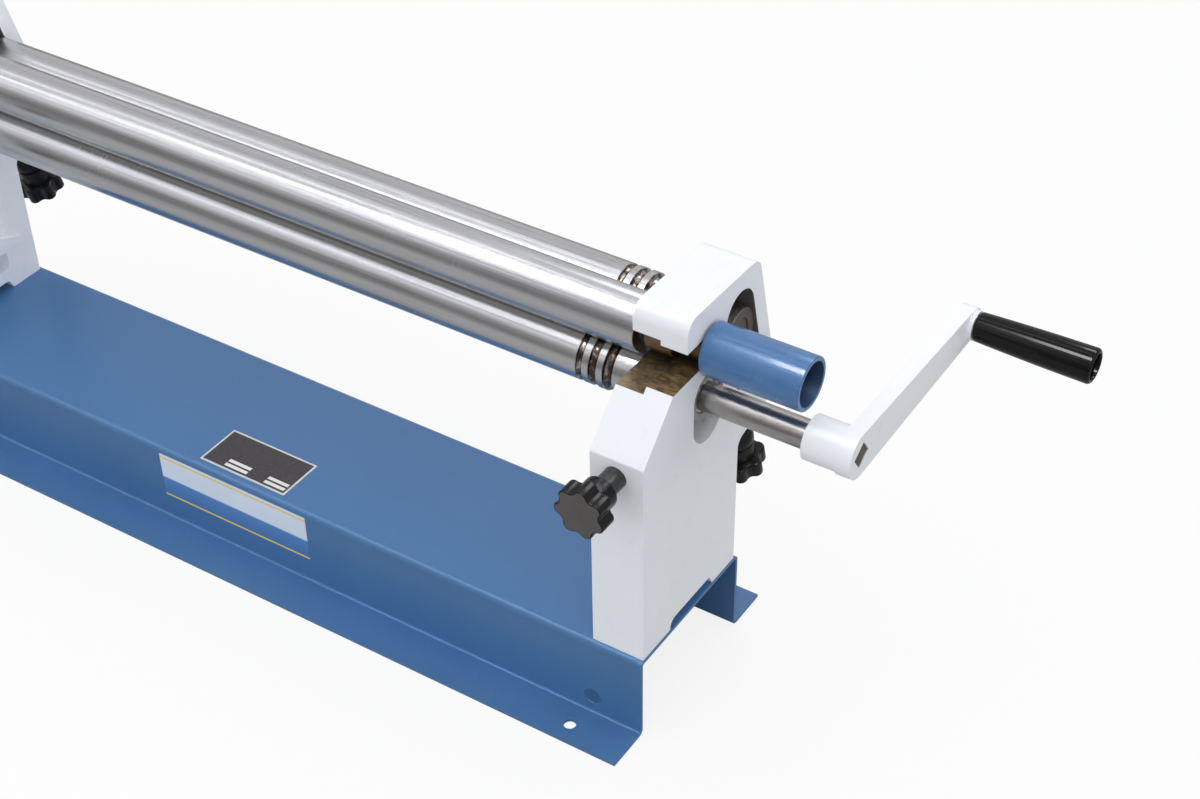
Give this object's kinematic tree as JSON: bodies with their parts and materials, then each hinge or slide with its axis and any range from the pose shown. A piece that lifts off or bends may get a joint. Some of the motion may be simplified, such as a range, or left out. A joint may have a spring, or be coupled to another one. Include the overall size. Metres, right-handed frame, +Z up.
{
  "type": "slip roll machine",
  "caption": "Bench-top hand-cranked slip roll: geared upper and lower rolls with a rear bending roll between two cast end frames on a folded base, with an upper roll that swings out.",
  "frame": {"origin": "centre of the four bench bolt holes in the feet, on the plane that the feet rest on", "axes": "+X along the rolls toward the crank, -Y toward the operator, +Z up"},
  "size_m": [0.9307, 0.2939, 0.3157],
  "materials": {
    "white_paint": "semi-gloss paint on cast iron",
    "blue_paint": "semi-gloss paint on sheet steel",
    "bright_steel": "ground and polished",
    "dark_steel": "turned, oiled",
    "bronze": "turned",
    "black_oxide": "black oxide",
    "knob_plastic": "satin moulded plastic",
    "grip_plastic": "gloss moulded plastic"
  },
  "bodies": {
    "stand": {"base_channel": "blue_paint", "frame_left": "white_paint", "frame_right": "white_paint", "frame_bolts": "dark_steel", "frame_washers": "dark_steel", "gear_guard": "blue_paint", "guard_screws": "dark_steel", "upper_bush_left": "bronze"},
    "lower_carriage": {"lower_bush_left": "dark_steel", "lower_bush_right": "dark_steel"},
    "lower_drive": {"lower_roll": "bright_steel", "lower_gear": "dark_steel", "gear_key": "bright_steel", "gear_bolt": "dark_steel", "crank_arm": "white_paint", "crank_setscrew": "dark_steel", "grip_bolt": "bright_steel"},
    "crank_grip": {"crank_grip": "grip_plastic"},
    "upper_gear": {"upper_gear": "dark_steel", "snap_ring": "bright_steel"},
    "upper_swing": {"upper_bush_right": "dark_steel"},
    "upper_roll": {"upper_roll": "bright_steel", "drive_pin": "dark_steel", "lift_tube": "blue_paint"},
    "front_push_left": {"front_plunger_left": "dark_steel"},
    "front_turn_left": {"front_screw_left": "black_oxide", "front_knob_left": "knob_plastic"},
    "front_push_right": {"front_plunger_right": "dark_steel"},
    "front_turn_right": {"front_screw_right": "black_oxide", "front_knob_right": "knob_plastic"},
    "rear_carriage": {"rear_bush_left": "dark_steel", "rear_bush_right": "dark_steel"},
    "rear_turn_left": {"rear_screw_left": "black_oxide", "rear_knob_left": "knob_plastic"},
    "rear_turn_right": {"rear_screw_right": "black_oxide", "rear_knob_right": "knob_plastic"},
    "rear_roll": {"rear_roll": "bright_steel"}
  },
  "joints": [
    {"name": "lower_roll_lift", "type": "slide", "parent": "stand", "child": "lower_carriage", "axis": [0, 0, 1], "range_m": [-0.003, 0.0006]},
    {"name": "lower_roll_spin", "type": "hinge", "parent": "lower_carriage", "child": "lower_drive", "pos_m": [0, 0.0177, 0.2416], "axis": [1, 0, 0], "continuous": true},
    {"name": "crank_grip_spin", "type": "hinge", "parent": "lower_drive", "child": "crank_grip", "pos_m": [0.5099, 0.1787, 0.2416], "axis": [1, 0, 0], "continuous": true},
    {"name": "upper_gear_spin", "type": "hinge", "parent": "stand", "child": "upper_gear", "pos_m": [-0.3345, 0.0177, 0.2816], "axis": [1, 0, 0], "continuous": true},
    {"name": "upper_roll_swing", "type": "hinge", "parent": "stand", "child": "upper_swing", "pos_m": [-0.3345, 0.0177, 0.2816], "axis": [0, 0, -1], "range_deg": [0, 8]},
    {"name": "upper_roll_spin", "type": "hinge", "parent": "upper_swing", "child": "upper_roll", "pos_m": [0, 0.0177, 0.2816], "axis": [1, 0, 0], "continuous": true},
    {"name": "front_push_left_slide", "type": "slide", "parent": "stand", "child": "front_push_left", "axis": [0, 1, 0], "range_m": [-0.00301, 0.00061]},
    {"name": "front_knob_left_turn", "type": "hinge", "parent": "front_push_left", "child": "front_turn_left", "pos_m": [-0.33393, -0.06, 0.2211], "axis": [0, 1, 0], "range_deg": [-720.5, 144.5]},
    {"name": "front_push_right_slide", "type": "slide", "parent": "stand", "child": "front_push_right", "axis": [0, 1, 0], "range_m": [-0.00301, 0.00061]},
    {"name": "front_knob_right_turn", "type": "hinge", "parent": "front_push_right", "child": "front_turn_right", "pos_m": [0.33393, -0.06, 0.2211], "axis": [0, 1, 0], "range_deg": [-720.5, 144.5]},
    {"name": "rear_roll_lift", "type": "slide", "parent": "stand", "child": "rear_carriage", "axis": [0, -0.2504, 0.9681], "range_m": [-0.03, 0.013]},
    {"name": "rear_knob_left_turn", "type": "hinge", "parent": "rear_carriage", "child": "rear_turn_left", "pos_m": [-0.3364, 0.08574, 0.16778], "axis": [0, -0.2504, 0.9681], "range_deg": [-6172, 2675]},
    {"name": "rear_knob_right_turn", "type": "hinge", "parent": "rear_carriage", "child": "rear_turn_right", "pos_m": [0.3364, 0.08574, 0.16778], "axis": [0, -0.2504, 0.9681], "range_deg": [-6172, 2675]},
    {"name": "rear_roll_spin", "type": "hinge", "parent": "rear_carriage", "child": "rear_roll", "pos_m": [0, 0.0607, 0.2646], "axis": [1, 0, 0], "continuous": true}
  ],
  "couplings": [
    {"joint": "front_push_left_slide", "follows": "lower_roll_lift", "ratio": 1},
    {"joint": "front_push_right_slide", "follows": "lower_roll_lift", "ratio": 1},
    {"joint": "front_knob_left_turn", "follows": "lower_roll_lift", "rad_per_m": 4188.8},
    {"joint": "front_knob_right_turn", "follows": "lower_roll_lift", "rad_per_m": 4188.8},
    {"joint": "upper_gear_spin", "follows": "lower_roll_spin", "ratio": -1},
    {"joint": "upper_roll_spin", "follows": "lower_roll_spin", "ratio": -1},
    {"joint": "rear_knob_left_turn", "follows": "rear_roll_lift", "rad_per_m": 3590.4},
    {"joint": "rear_knob_right_turn", "follows": "rear_roll_lift", "rad_per_m": 3590.4}
  ]
}
